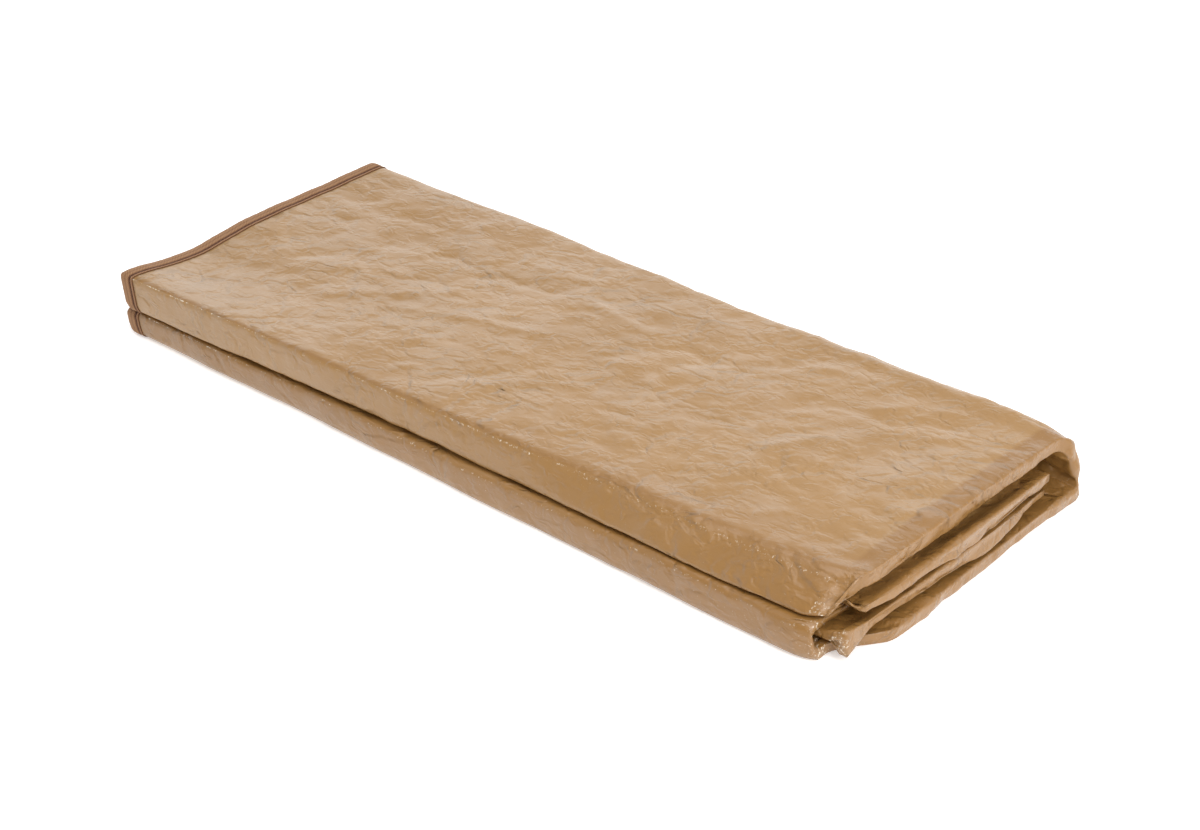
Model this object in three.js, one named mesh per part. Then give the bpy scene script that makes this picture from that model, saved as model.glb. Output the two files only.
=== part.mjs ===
// A tent footprint folded for storage: one sheet of coated cloth with a tape sewn over its edge.
//
// The flat sheet was folded in half crosswise first, so each layer of the packet is a pair of plies:
// both bound ends lie at the left (-X) and the half fold lies at the right (+X). The doubled sheet was
// then folded lengthwise: both long edges in towards the middle, both halves over once more, and at
// last the packet was closed like a book about its back (+Y). So eight pairs lie on one another, four
// in the upper stack and four in the lower one, and each is modelled where it lies.
//
// A place on the sheet has two coordinates. "fold" counts along the section of the folds: it grows by
// one over each layer and by one over each turn between two layers. "length" runs from 0 to 1 along
// the inner ply from its bound end, to 2 round the half fold, and to 3 back along the outer ply.
//
// Millimetres, +Z up. The packet lies on z = 0, and the origin is the middle of its underside.

import * as THREE from "three";
import { mergeVertices } from "three/addons/utils/BufferGeometryUtils.js";

// Thicknesses and the tape's width
const SHEET = 1;
const SEAM_GAP = 0.3;
const TAPE = 0.55;
const TAPE_WIDTH = 15;

// Where the height columns of LAYERS hold, along the packet
const LEFT_X = -360;
const MIDDLE_X = -60;
const RIGHT_X = 350;

// The layers in the order of the sheet, from one long edge to the other. outer and inner are the
// heights of the two plies' middles: at the bound end, in the middle, and at the half fold, there at
// the front and at the back. bound is the x of the bound ends, and half that of the half fold, at
// the front, at the front quarter, in the middle and at the back.
const LAYERS = [
  {
    name: "upper tuck",
    outer: { left: 38, middle: 46.8, rightFront: 37.2, rightBack: 38.6 },
    inner: { left: 41.05, middle: 51, rightFront: 42.4, rightBack: 44.6 },
    bound: -383,
    half: { front: 364, quarter: 362, middle: 362, back: 361 },
  },
  {
    name: "upper middle",
    outer: { left: 34.95, middle: 42.6, rightFront: 35.8, rightBack: 36.4 },
    inner: { left: 31.9, middle: 38.4, rightFront: 34.4, rightBack: 34.6 },
    bound: -383,
    half: { front: 377, quarter: 380, middle: 382, back: 377 },
  },
  {
    name: "upper base",
    outer: { left: 25.8, middle: 30, rightFront: 31.8, rightBack: 31.2 },
    inner: { left: 28.85, middle: 34.2, rightFront: 33.1, rightBack: 32.9 },
    bound: -382,
    half: { front: 362, quarter: 362, middle: 362, back: 361 },
  },
  {
    name: "top",
    outer: { left: 58.65, middle: 59.4, rightFront: 59.5, rightBack: 59.5 },
    inner: { left: 54.9, middle: 55.2, rightFront: 45.4, rightBack: 48.8 },
    bound: -390,
    half: { front: 370, quarter: 372, middle: 371, back: 371 },
  },
  {
    name: "bottom",
    outer: { left: 1.35, middle: 0.5, rightFront: 0.5, rightBack: 0.5 },
    inner: { left: 4.4, middle: 4.2, rightFront: 10, rightBack: 10 },
    bound: -383,
    half: { front: 359, quarter: 386, middle: 382, back: 380 },
  },
  {
    name: "lower cover",
    outer: { left: 22.7, middle: 27, rightFront: 29.8, rightBack: 29 },
    inner: { left: 19.65, middle: 23.2, rightFront: 23.8, rightBack: 23.6 },
    bound: -389,
    half: { front: 358, quarter: 362, middle: 362, back: 361 },
  },
  {
    name: "lower middle",
    outer: { left: 13.55, middle: 15.6, rightFront: 19.6, rightBack: 19.6 },
    inner: { left: 16.6, middle: 19.4, rightFront: 21.4, rightBack: 21.3 },
    bound: -387,
    half: { front: 377, quarter: 378, middle: 381, back: 375 },
  },
  {
    name: "lower tuck",
    outer: { left: 10.5, middle: 11.8, rightFront: 16.9, rightBack: 16.9 },
    inner: { left: 7.45, middle: 8, rightFront: 13.6, rightBack: 13.6 },
    bound: -386,
    half: { front: 364, quarter: 362, middle: 362, back: 361 },
  },
];

// Where along y the columns of half hold
const HALF_FOLD_Y = { front: -150, quarter: -98, middle: 20, back: 120 };

// The turns between those layers. side is -1 at the front and 1 at the back. A tight turn is round.
// In a wide one the plies bulge by outer and inner past the line on which it stands, and square sets
// how boxy it is, at the bound end and at the half fold: 2 is an ellipse, and 5 is nearly a box.
const TURNS = [
  { name: "upper inner fold", side: -1, tight: true },
  { name: "upper back turn", side: 1, tight: true },
  { name: "upper front", side: -1, outer: 7, inner: 3.4, squareLeft: 5, squareRight: 3 },
  { name: "spine", side: 1, outer: 18, inner: 14.2, squareLeft: 4.4, squareRight: 3 },
  { name: "lower front", side: -1, outer: 7, inner: 3.4, squareLeft: 3.4, squareRight: 3 },
  { name: "lower back turn", side: 1, tight: true },
  { name: "lower inner fold", side: -1, tight: true },
];

// The y of the lines on which the turns stand, along the packet: each turn's start and end in the
// order of the sheet, and the long free edges of both tucks.
const LINES = [
  {
    x: -383, innerFold: -135, backTurn: 128, lip: -143, shoulder: -143, spineTop: 143,
    spineFoot: 137, foot: -140, crest: -141, lowerInner: -136, edge: 122,
  },
  {
    x: -200, innerFold: -135, backTurn: 127, lip: -143, shoulder: -143, spineTop: 146,
    spineFoot: 137, foot: -142, crest: -145, lowerInner: -137, edge: 121,
  },
  {
    x: -60, innerFold: -134, backTurn: 124, lip: -144, shoulder: -141, spineTop: 140,
    spineFoot: 135, foot: -146, crest: -148, lowerInner: -139, edge: 118,
  },
  {
    x: 60, innerFold: -132, backTurn: 119, lip: -146, shoulder: -138, spineTop: 138,
    spineFoot: 135, foot: -150, crest: -151, lowerInner: -142, edge: 113,
  },
  {
    x: 180, innerFold: -130, backTurn: 113, lip: -150, shoulder: -130, spineTop: 136,
    spineFoot: 136, foot: -152, crest: -153, lowerInner: -144, edge: 106,
  },
  {
    x: 290, innerFold: -129, backTurn: 111, lip: -153, shoulder: -126, spineTop: 133,
    spineFoot: 138, foot: -156, crest: -156, lowerInner: -145, edge: 101,
  },
  {
    x: 345, innerFold: -128, backTurn: 112, lip: -151, shoulder: -122, spineTop: 131,
    spineFoot: 140, foot: -156, crest: -157, lowerInner: -145, edge: 99,
  },
  {
    x: 376, innerFold: -124, backTurn: 115, lip: -137, shoulder: -114, spineTop: 128,
    spineFoot: 140, foot: -150, crest: -150, lowerInner: -143, edge: 98,
  },
];

// Which columns of LINES each turn starts and ends on
const TURN_LINES = [
  ["innerFold", "innerFold"],
  ["backTurn", "backTurn"],
  ["lip", "shoulder"],
  ["spineTop", "spineFoot"],
  ["foot", "crest"],
  ["backTurn", "backTurn"],
  ["lowerInner", "lowerInner"],
];

// Broad rises and dips of the layers, in millimetres, each fading away over its reach. face names the
// one ply that moves, 1 for the outer and -1 for the inner, where only one does.
const SWELLS = [
  // the top dips behind its front crease, and humps at the spine's corner
  { layer: "top", x: -385, y: -76, reachX: 150, reachY: 50, rise: -7.5 },
  { layer: "top", x: -390, y: 140, reachX: 60, reachY: 30, rise: 1.2 },
  // slack hollows and a rise before the half fold
  { layer: "top", x: -170, y: 60, reachX: 90, reachY: 50, rise: -1.6 },
  { layer: "top", x: 20, y: -30, reachX: 110, reachY: 55, rise: -1.4 },
  { layer: "top", x: 300, y: 20, reachX: 90, reachY: 80, rise: 1.6 },
  // two half folds are fat: they swell past the ends of the layers above and below them
  { layer: "upper middle", face: 1, x: 386, y: 0, reachX: 10, reachY: 200, rise: 6.5 },
  { layer: "upper middle", face: 1, x: 388, y: 45, reachX: 8, reachY: 75, rise: 3.2 },
  { layer: "upper middle", face: -1, x: 386, y: 0, reachX: 10, reachY: 200, rise: -4 },
  { layer: "upper middle", face: -1, x: 386, y: 118, reachX: 10, reachY: 30, rise: -4 },
  { layer: "lower middle", face: -1, x: 386, y: 0, reachX: 10, reachY: 200, rise: 9 },
  { layer: "lower middle", face: 1, x: 386, y: 0, reachX: 10, reachY: 200, rise: -5.5 },
  // the front corner of the lower one reaches down to the floor
  { layer: "lower middle", face: -1, x: 380, y: -152, reachX: 8, reachY: 24, rise: 4 },
  { layer: "lower middle", face: 1, x: 380, y: -152, reachX: 8, reachY: 24, rise: -17 },
];

// How far the half fold reaches past its plies' ends, and how boxy it is
const HALF_FOLD_REACH = 4.5;
const HALF_FOLD_SQUARE = 4;

// The spine's middle sticks out at the half fold
const SPINE_BULGE_X = 5;

// Steps along each layer and turn, in the order of the sheet
const LAYER_STEPS = [3, 3, 3, 8, 6, 3, 3, 3];
const TURN_STEPS = [6, 6, 9, 10, 8, 6, 6];

// Steps along a ply from the tape's inner edge to the half fold, as shares of the length
const LENGTH_SHARES = [0.07, 0.16, 0.27, 0.38, 0.5, 0.62, 0.73, 0.83, 0.91, 0.965, 0.985, 1];
const HALF_FOLD_STEPS = 5;

const NOMINAL_LENGTH = 760;
const FOLD_END = LAYERS.length + TURNS.length;
const LENGTH_END = 3;

const ease = (t) => t * t * (3 - 2 * t);
const mix = (a, b, t) => a + (b - a) * t;
const share = (value, from, to) => Math.min(Math.max((value - from) / (to - from), 0), 1);

// A signed power, for rounded boxes
const roundPower = (value, square) => Math.sign(value) * Math.pow(Math.abs(value), 2 / square);

// The value of a column of LINES at x
function lineAt(column, x) {
  const after = LINES.findIndex((row) => row.x >= x);
  if (after === 0) return LINES[0][column];
  if (after < 0) return LINES[LINES.length - 1][column];
  const before = LINES[after - 1];
  const next = LINES[after];
  return mix(before[column], next[column], ease(share(x, before.x, next.x)));
}

// How far the swells lift one ply of a layer
function swellAt(layer, face, x, y) {
  let rise = 0;
  for (const swell of SWELLS) {
    if (swell.layer !== LAYERS[layer].name || swell.face === -face) continue;
    const dx = (x - swell.x) / swell.reachX;
    const dy = (y - swell.y) / swell.reachY;
    rise += swell.rise * Math.exp(-dx * dx - dy * dy);
  }
  return rise;
}

// The height of one ply's middle; face is 1 for the outer ply and -1 for the inner one
function plyHeight(layer, face, x, y) {
  const row = face > 0 ? LAYERS[layer].outer : LAYERS[layer].inner;
  const right = mix(row.rightFront, row.rightBack, share(y, HALF_FOLD_Y.front, HALF_FOLD_Y.back));
  const swell = swellAt(layer, face, x, y);
  if (x > MIDDLE_X) return mix(row.middle, right, ease(share(x, MIDDLE_X, RIGHT_X))) + swell;
  return mix(row.left, row.middle, ease(share(x, LEFT_X, MIDDLE_X))) + swell;
}

// The x of the half fold of one layer at y
function halfFoldAt(layer, y) {
  const row = LAYERS[layer].half;
  if (y < HALF_FOLD_Y.quarter)
    return mix(row.front, row.quarter, ease(share(y, HALF_FOLD_Y.front, HALF_FOLD_Y.quarter)));
  if (y < HALF_FOLD_Y.middle)
    return mix(row.quarter, row.middle, ease(share(y, HALF_FOLD_Y.quarter, HALF_FOLD_Y.middle)));
  return mix(row.middle, row.back, ease(share(y, HALF_FOLD_Y.middle, HALF_FOLD_Y.back)));
}

// The y at which a layer's run starts and ends
function runEnds(layer, x) {
  const start = layer === 0 ? lineAt("edge", x) : lineAt(TURN_LINES[layer - 1][1], x);
  const end = layer === TURNS.length ? lineAt("edge", x) : lineAt(TURN_LINES[layer][0], x);
  return [start, end];
}

// The y and z of a ply's middle at one place of the folds
function sectionAt(fold, face, x) {
  const span = Math.min(Math.max(Math.floor(fold), 0), FOLD_END - 1);
  const part = fold - span;
  const layer = Math.floor(span / 2);
  if (span % 2 === 0) {
    const [start, end] = runEnds(layer, x);
    const y = mix(start, end, part);
    return { y, z: plyHeight(layer, face, x, y) };
  }
  const turn = TURNS[layer];
  const start = lineAt(TURN_LINES[layer][0], x);
  const end = lineAt(TURN_LINES[layer][1], x);
  const from = plyHeight(layer, face, x, start);
  const to = plyHeight(layer + 1, face, x, end);
  const boxy = mix(turn.squareLeft, turn.squareRight, share(x, LEFT_X, RIGHT_X));
  const square = turn.tight ? 2 : boxy;
  const wide = face > 0 ? turn.outer : turn.inner;
  const reach = turn.tight ? Math.abs(to - from) / 2 : wide;
  const angle = Math.PI * (part - 0.5);
  const along = (roundPower(Math.sin(angle), square) + 1) / 2;
  const bulge = reach * roundPower(Math.cos(angle), square);
  return { y: mix(start, end, along) + turn.side * bulge, z: mix(from, to, along) };
}

// The x of the bound end and of the half fold, for both plies at one place of the folds
function endsAt(fold) {
  const span = Math.min(Math.max(Math.floor(fold), 0), FOLD_END - 1);
  const part = fold - span;
  const layer = Math.floor(span / 2);
  if (span % 2 === 0) {
    const [start, end] = runEnds(layer, RIGHT_X);
    return { bound: LAYERS[layer].bound, half: halfFoldAt(layer, mix(start, end, part)) };
  }
  const y = TURNS[layer].side * Math.abs(HALF_FOLD_Y.front);
  const bulge = TURNS[layer].name === "spine" ? SPINE_BULGE_X * Math.sin(Math.PI * part) : 0;
  return {
    bound: mix(LAYERS[layer].bound, LAYERS[layer + 1].bound, ease(part)),
    half: mix(halfFoldAt(layer, y), halfFoldAt(layer + 1, y), ease(part)) + bulge,
  };
}

// The middle of the cloth at one place of the sheet
function clothAt(fold, length) {
  const { bound, half } = endsAt(fold);
  if (length <= 1) {
    const x = mix(bound, half, length);
    const { y, z } = sectionAt(fold, -1, x);
    return new THREE.Vector3(x, y, z);
  }
  if (length >= 2) {
    const x = mix(half, bound, length - 2);
    const { y, z } = sectionAt(fold, 1, x);
    return new THREE.Vector3(x, y, z);
  }
  const inner = sectionAt(fold, -1, half);
  const outer = sectionAt(fold, 1, half);
  const apart = Math.hypot(outer.y - inner.y, outer.z - inner.z) / 2;
  const angle = Math.PI * (length - 1.5);
  const across = (roundPower(Math.sin(angle), HALF_FOLD_SQUARE) + 1) / 2;
  const reach = Math.min(apart, HALF_FOLD_REACH) * roundPower(Math.cos(angle), HALF_FOLD_SQUARE);
  return new THREE.Vector3(half + reach, mix(inner.y, outer.y, across), mix(inner.z, outer.z, across));
}

// A point of the cloth, raised from its middle along the cloth's own normal
const STEP = 1e-4;
function raisedAt(fold, length, raise) {
  const alongFold = clothAt(fold + STEP, length).sub(clothAt(fold - STEP, length));
  const alongLength = clothAt(fold, length + STEP).sub(clothAt(fold, length - STEP));
  const normal = alongFold.cross(alongLength).normalize();
  return clothAt(fold, length).addScaledVector(normal, raise);
}

// The share of a span that a distance on the cloth takes: along a tuck's run, and along a ply
const foldShare = (distance) => distance / (lineAt("edge", 0) - lineAt("innerFold", 0));
const lengthShare = (distance) => distance / NOMINAL_LENGTH;

// The places along the folds at which the cloth has vertices, with one at each tape's inner edge
function foldStations() {
  const stations = [0, foldShare(TAPE_WIDTH)];
  for (let span = 0; span < FOLD_END; span++) {
    const steps = span % 2 === 0 ? LAYER_STEPS[span / 2] : TURN_STEPS[(span - 1) / 2];
    for (let i = 1; i <= steps; i++) stations.push(span + i / steps);
  }
  stations.splice(-1, 0, FOLD_END - foldShare(TAPE_WIDTH));
  return stations;
}

// The places along the length at which it has them
function lengthStations() {
  const ply = [0, lengthShare(TAPE_WIDTH), ...LENGTH_SHARES];
  const turn = [];
  for (let i = 1; i < HALF_FOLD_STEPS; i++) turn.push(1 + i / HALF_FOLD_STEPS);
  return [...ply, ...turn, ...ply.map((value) => LENGTH_END - value).reverse()];
}

const FOLD_STATIONS = foldStations();
const LENGTH_STATIONS = lengthStations();

// A closed geometry with only its positions, its shared vertices merged
function closed(geometry) {
  geometry.deleteAttribute("normal");
  geometry.deleteAttribute("uv");
  return mergeVertices(geometry, 1e-5);
}

// The sheet: a thin flat slab cut at the stations, each vertex taken to its place in the folds
function makeSheet() {
  const folds = FOLD_STATIONS.length - 1;
  const lengths = LENGTH_STATIONS.length - 1;
  const geometry = new THREE.BoxGeometry(folds, lengths, SHEET, folds, lengths, 1);
  const position = geometry.getAttribute("position");
  for (let i = 0; i < position.count; i++) {
    const fold = FOLD_STATIONS[Math.round(position.getX(i) + folds / 2)];
    const length = LENGTH_STATIONS[Math.round(position.getY(i) + lengths / 2)];
    const placed = raisedAt(fold, length, position.getZ(i));
    position.setXYZ(i, placed.x, placed.y, placed.z);
  }
  return closed(geometry);
}

// The tape's section: inward is the distance in from the sheet's edge, and raise that from its middle
const TAPE_INSIDE = SHEET / 2 + SEAM_GAP;
const TAPE_OUTSIDE = TAPE_INSIDE + TAPE;
const TAPE_SECTION = [
  { inward: TAPE_WIDTH, raise: TAPE_INSIDE },
  { inward: -SEAM_GAP, raise: TAPE_INSIDE },
  { inward: -SEAM_GAP, raise: -TAPE_INSIDE },
  { inward: TAPE_WIDTH, raise: -TAPE_INSIDE },
  { inward: TAPE_WIDTH, raise: -TAPE_OUTSIDE },
  { inward: -SEAM_GAP - TAPE, raise: -TAPE_OUTSIDE },
  { inward: -SEAM_GAP - TAPE, raise: TAPE_OUTSIDE },
  { inward: TAPE_WIDTH, raise: TAPE_OUTSIDE },
];

// The tape's way round the sheet: each place on the edge with its direction inward, mitred at the
// four corners
function tapeWay() {
  const folds = FOLD_STATIONS.slice(2, -2);
  const lengths = LENGTH_STATIONS.slice(2, -2);
  return [
    { fold: 0, length: 0, inFold: 1, inLength: 1 },
    ...folds.map((fold) => ({ fold, length: 0, inFold: 0, inLength: 1 })),
    { fold: FOLD_END, length: 0, inFold: -1, inLength: 1 },
    ...lengths.map((length) => ({ fold: FOLD_END, length, inFold: -1, inLength: 0 })),
    { fold: FOLD_END, length: LENGTH_END, inFold: -1, inLength: -1 },
    ...folds.reverse().map((fold) => ({ fold, length: LENGTH_END, inFold: 0, inLength: -1 })),
    { fold: 0, length: LENGTH_END, inFold: 1, inLength: -1 },
    ...lengths.reverse().map((length) => ({ fold: 0, length, inFold: 1, inLength: 0 })),
  ];
}

// The tape: a flat band wrapped into a closed loop whose section is a channel over the edge
function makeTape() {
  const way = tapeWay();
  const sides = TAPE_SECTION.length;
  const geometry = new THREE.PlaneGeometry(way.length, sides, way.length, sides);
  const position = geometry.getAttribute("position");
  for (let i = 0; i < position.count; i++) {
    const place = way[Math.round(position.getX(i) + way.length / 2) % way.length];
    const corner = TAPE_SECTION[Math.round(position.getY(i) + sides / 2) % sides];
    const fold = place.fold + place.inFold * foldShare(corner.inward);
    const length = place.length + place.inLength * lengthShare(corner.inward);
    const placed = raisedAt(fold, length, corner.raise);
    position.setXYZ(i, placed.x, placed.y, placed.z);
  }
  return closed(geometry);
}

const cloth = new THREE.MeshStandardMaterial({ color: 0xb99a6c, roughness: 0.45, metalness: 0 });
const webbing = new THREE.MeshStandardMaterial({ color: 0x9c7355, roughness: 0.8, metalness: 0 });

const sheet = new THREE.Mesh(makeSheet(), cloth);
sheet.name = "folded_sheet";

const tape = new THREE.Mesh(makeTape(), webbing);
tape.name = "edge_binding";

// The packet, moved so that the middle of its underside is the origin
const packet = new THREE.Group();
packet.add(sheet, tape);
const box = new THREE.Box3().setFromObject(packet);
packet.position.set(-(box.min.x + box.max.x) / 2, -(box.min.y + box.max.y) / 2, -box.min.z);

const footprint = new THREE.Group();
footprint.add(packet);

export default footprint;
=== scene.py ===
# %% [markdown]
# A tent footprint, folded for storage. The real thing is one large rectangle of woven, coated cloth
# with a ribbed tape folded over its edge and sewn down. It is folded in half crosswise, then both
# long edges come in to the middle, both halves go over once more, and the packet closes like a book.
# So this lesson makes two pieces, the sheet and its binding, and the row of stitches that joins them.

# %% Load the frame
import math
import random

import bmesh
import bpy
import numpy as np
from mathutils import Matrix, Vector, noise


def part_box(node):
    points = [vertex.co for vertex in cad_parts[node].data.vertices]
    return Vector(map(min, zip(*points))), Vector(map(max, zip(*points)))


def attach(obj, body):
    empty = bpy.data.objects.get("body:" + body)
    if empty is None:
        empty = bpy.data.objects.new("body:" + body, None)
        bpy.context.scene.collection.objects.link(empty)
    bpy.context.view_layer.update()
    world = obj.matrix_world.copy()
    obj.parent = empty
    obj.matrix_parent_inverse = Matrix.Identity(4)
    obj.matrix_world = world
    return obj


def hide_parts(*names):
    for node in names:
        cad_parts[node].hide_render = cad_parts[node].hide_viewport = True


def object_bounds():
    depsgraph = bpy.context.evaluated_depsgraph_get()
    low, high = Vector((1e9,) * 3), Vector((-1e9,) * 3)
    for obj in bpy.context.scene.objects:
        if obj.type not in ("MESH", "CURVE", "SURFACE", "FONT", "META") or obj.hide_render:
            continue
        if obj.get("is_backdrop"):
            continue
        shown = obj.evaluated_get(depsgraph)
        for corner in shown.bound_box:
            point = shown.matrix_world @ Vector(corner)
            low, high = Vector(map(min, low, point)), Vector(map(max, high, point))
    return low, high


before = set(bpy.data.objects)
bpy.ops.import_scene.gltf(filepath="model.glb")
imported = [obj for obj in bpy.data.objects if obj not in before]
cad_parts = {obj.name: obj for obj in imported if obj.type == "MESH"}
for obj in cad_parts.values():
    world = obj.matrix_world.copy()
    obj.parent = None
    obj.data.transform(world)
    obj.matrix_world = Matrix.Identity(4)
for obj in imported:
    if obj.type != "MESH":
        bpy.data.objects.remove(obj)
CAD_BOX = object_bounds()
MM = 0.001
print("CAD box", [round(v, 4) for corner in CAD_BOX for v in corner])

# %% [markdown]
# The packet is easiest to describe as the cloth itself. Every point of the flat sheet has two
# numbers: fold, which counts the layers and the turns between them across the packet, and length,
# which runs along the inner ply from its bound end, round the half fold, and back along the outer
# ply. A function that says where such a point lies in the folded packet is all that is needed, and
# the sheet, its tape and its stitches then fit one another of themselves.

# %% Heights and ends of the layers
LEFT_X, MIDDLE_X, RIGHT_X = -360, -60, 350
HALF_FOLD_Y = (-150, -98, 20, 120)

# For each layer in the order of the sheet: the height of its outer and inner ply at the bound end,
# in the middle, and at the half fold in front and behind, then the x of its bound end, and the x of
# its half fold at the four places of HALF_FOLD_Y. All in millimetres.
LAYERS = (
    dict(name="upper tuck", outer=(38, 46.8, 37.2, 38.6), inner=(41.05, 51, 42.4, 44.6),
         bound=-383, half=(364, 362, 362, 361)),
    dict(name="upper middle", outer=(34.95, 42.6, 35.8, 36.4), inner=(31.9, 38.4, 34.4, 34.6),
         bound=-383, half=(377, 380, 382, 377)),
    dict(name="upper base", outer=(25.8, 30, 31.8, 31.2), inner=(28.85, 34.2, 33.1, 32.9),
         bound=-382, half=(362, 362, 362, 361)),
    dict(name="top", outer=(58.65, 59.4, 59.5, 59.5), inner=(54.9, 55.2, 45.4, 48.8),
         bound=-390, half=(370, 372, 371, 371)),
    dict(name="bottom", outer=(1.35, 0.5, 0.5, 0.5), inner=(4.4, 4.2, 10, 10),
         bound=-383, half=(359, 386, 382, 380)),
    dict(name="lower cover", outer=(22.7, 27, 29.8, 29), inner=(19.65, 23.2, 23.8, 23.6),
         bound=-389, half=(358, 362, 362, 361)),
    dict(name="lower middle", outer=(13.55, 15.6, 19.6, 19.6), inner=(16.6, 19.4, 21.4, 21.3),
         bound=-387, half=(377, 378, 381, 375)),
    dict(name="lower tuck", outer=(10.5, 11.8, 16.9, 16.9), inner=(7.45, 8, 13.6, 13.6),
         bound=-386, half=(364, 362, 362, 361)),
)
print(len(LAYERS), "layers, each a pair of plies")

# %% [markdown]
# The turns between the layers are of two kinds. A tight turn is a plain half circle, because the
# cloth there is folded flat. A wide turn wraps round others: the two fronts and the spine. It stands
# on a line, bulges past it, and is as boxy as its square says, 2 for an ellipse and 5 for nearly a box.

# %% Turns, their lines along the packet, and the uneven places
TURNS = (
    dict(name="upper inner fold", side=-1, lines=("inner_fold", "inner_fold")),
    dict(name="upper back turn", side=1, lines=("back_turn", "back_turn")),
    dict(name="upper front", side=-1, lines=("lip", "shoulder"), bulge=(7, 3.4), square=(5, 3)),
    dict(name="spine", side=1, lines=("spine_top", "spine_foot"), bulge=(18, 14.2), square=(4.4, 3)),
    dict(name="lower front", side=-1, lines=("foot", "crest"), bulge=(7, 3.4), square=(3.4, 3)),
    dict(name="lower back turn", side=1, lines=("back_turn", "back_turn")),
    dict(name="lower inner fold", side=-1, lines=("lower_inner", "lower_inner")),
)

# The y of each line at some places along x, in millimetres
LINES = dict(
    x=(-383, -200, -60, 60, 180, 290, 345, 376),
    inner_fold=(-135, -135, -134, -132, -130, -129, -128, -124),
    back_turn=(128, 127, 124, 119, 113, 111, 112, 115),
    lip=(-143, -143, -144, -146, -150, -153, -151, -137),
    shoulder=(-143, -143, -141, -138, -130, -126, -122, -114),
    spine_top=(143, 146, 140, 138, 136, 133, 131, 128),
    spine_foot=(137, 137, 135, 134, 136, 138, 140, 140),
    foot=(-140, -142, -146, -150, -152, -156, -156, -150),
    crest=(-141, -145, -148, -151, -153, -156, -157, -150),
    lower_inner=(-136, -137, -139, -142, -144, -145, -145, -143),
    edge=(122, 121, 118, 113, 106, 101, 99, 98),
)

# Rises and dips, in millimetres. A row is the layer, which of its plies move, the place in x and y,
# the reach along x and y over which it fades away, and the rise.
SWELLS = (
    ("top", "both", -385, -76, 150, 50, -7.5),
    ("top", "both", -390, 140, 60, 30, 1.2),
    ("top", "both", -170, 60, 90, 50, -1.6),
    ("top", "both", 20, -30, 110, 55, -1.4),
    ("top", "both", 300, 20, 90, 80, 1.6),
    ("upper middle", "outer", 386, 0, 10, 200, 6.5),
    ("upper middle", "outer", 388, 45, 8, 75, 3.2),
    ("upper middle", "inner", 386, 0, 10, 200, -4),
    ("upper middle", "inner", 386, 118, 10, 30, -4),
    ("lower middle", "inner", 386, 0, 10, 200, 9),
    ("lower middle", "outer", 386, 0, 10, 200, -5.5),
    ("lower middle", "inner", 380, -152, 8, 24, 4),
    ("lower middle", "outer", 380, -152, 8, 24, -17),
)
HALF_FOLD_REACH, HALF_FOLD_SQUARE = 4.5, 8
SPINE_BULGE_X = 5
FOLD_END, LENGTH_END = len(LAYERS) + len(TURNS), 3
print(len(TURNS), "turns and", len(SWELLS), "uneven places")

# %% Small sums that the fold is worked out with


def ease(t):
    return t * t * (3 - 2 * t)


def mix(a, b, t):
    return a + (b - a) * t


def share(value, low, high):
    return np.clip((value - low) / (high - low), 0, 1)


def within(value, low, high):
    return (value > low) & (value < high)


def unit(vectors):
    return vectors / np.maximum(np.linalg.norm(vectors, axis=1, keepdims=True), 1e-12)


def eased_row(at, places, values):
    """Values between the places of a table, eased from one to the next."""
    places, values = np.asarray(places, float), np.asarray(values, float)
    i = np.clip(np.searchsorted(places, at) - 1, 0, len(places) - 2)
    return mix(values[i], values[i + 1], ease(share(at, places[i], places[i + 1])))


def line_at(column, x):
    return eased_row(x, LINES["x"], LINES[column])


def round_power(value, square):
    return np.sign(value) * np.abs(value) ** (2 / square)

# %% Where a ply lies


def ply_height(layer, outer, x, y):
    row = LAYERS[layer]
    left, middle, front, back = (np.where(outer, o, i) for o, i in zip(row["outer"], row["inner"]))
    right = mix(front, back, share(y, HALF_FOLD_Y[0], HALF_FOLD_Y[-1]))
    before = mix(left, middle, ease(share(x, LEFT_X, MIDDLE_X)))
    z = np.where(x > MIDDLE_X, mix(middle, right, ease(share(x, MIDDLE_X, RIGHT_X))), before)
    for name, ply, at_x, at_y, reach_x, reach_y, rise in SWELLS:
        if name != row["name"]:
            continue
        moves = {"outer": outer, "inner": ~outer}.get(ply, True)
        away = ((x - at_x) / reach_x) ** 2 + ((y - at_y) / reach_y) ** 2
        z = z + np.where(moves, rise * np.exp(-away), 0)
    return z


def run_ends(layer, x):
    start = "edge" if layer == 0 else TURNS[layer - 1]["lines"][1]
    end = "edge" if layer == len(TURNS) else TURNS[layer]["lines"][0]
    return line_at(start, x), line_at(end, x)


def spans_of(fold):
    """Which layer or turn each place is in, and how far along it."""
    span = np.clip(np.floor(fold), 0, FOLD_END - 1).astype(int)
    return span, fold - span


def turn_section(turn, part, outer, x, start, end, low, high):
    if "bulge" in turn:
        square = mix(turn["square"][0], turn["square"][1], share(x, LEFT_X, RIGHT_X))
        reach = np.where(outer, turn["bulge"][0], turn["bulge"][1])
    else:
        square, reach = 2, np.abs(high - low) / 2
    angle = math.pi * (part - 0.5)
    along = (round_power(np.sin(angle), square) + 1) / 2
    bulge = reach * round_power(np.cos(np.clip(angle, -math.pi / 2, math.pi / 2)), square)
    return mix(start, end, along) + turn["side"] * bulge, mix(low, high, along)


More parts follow.
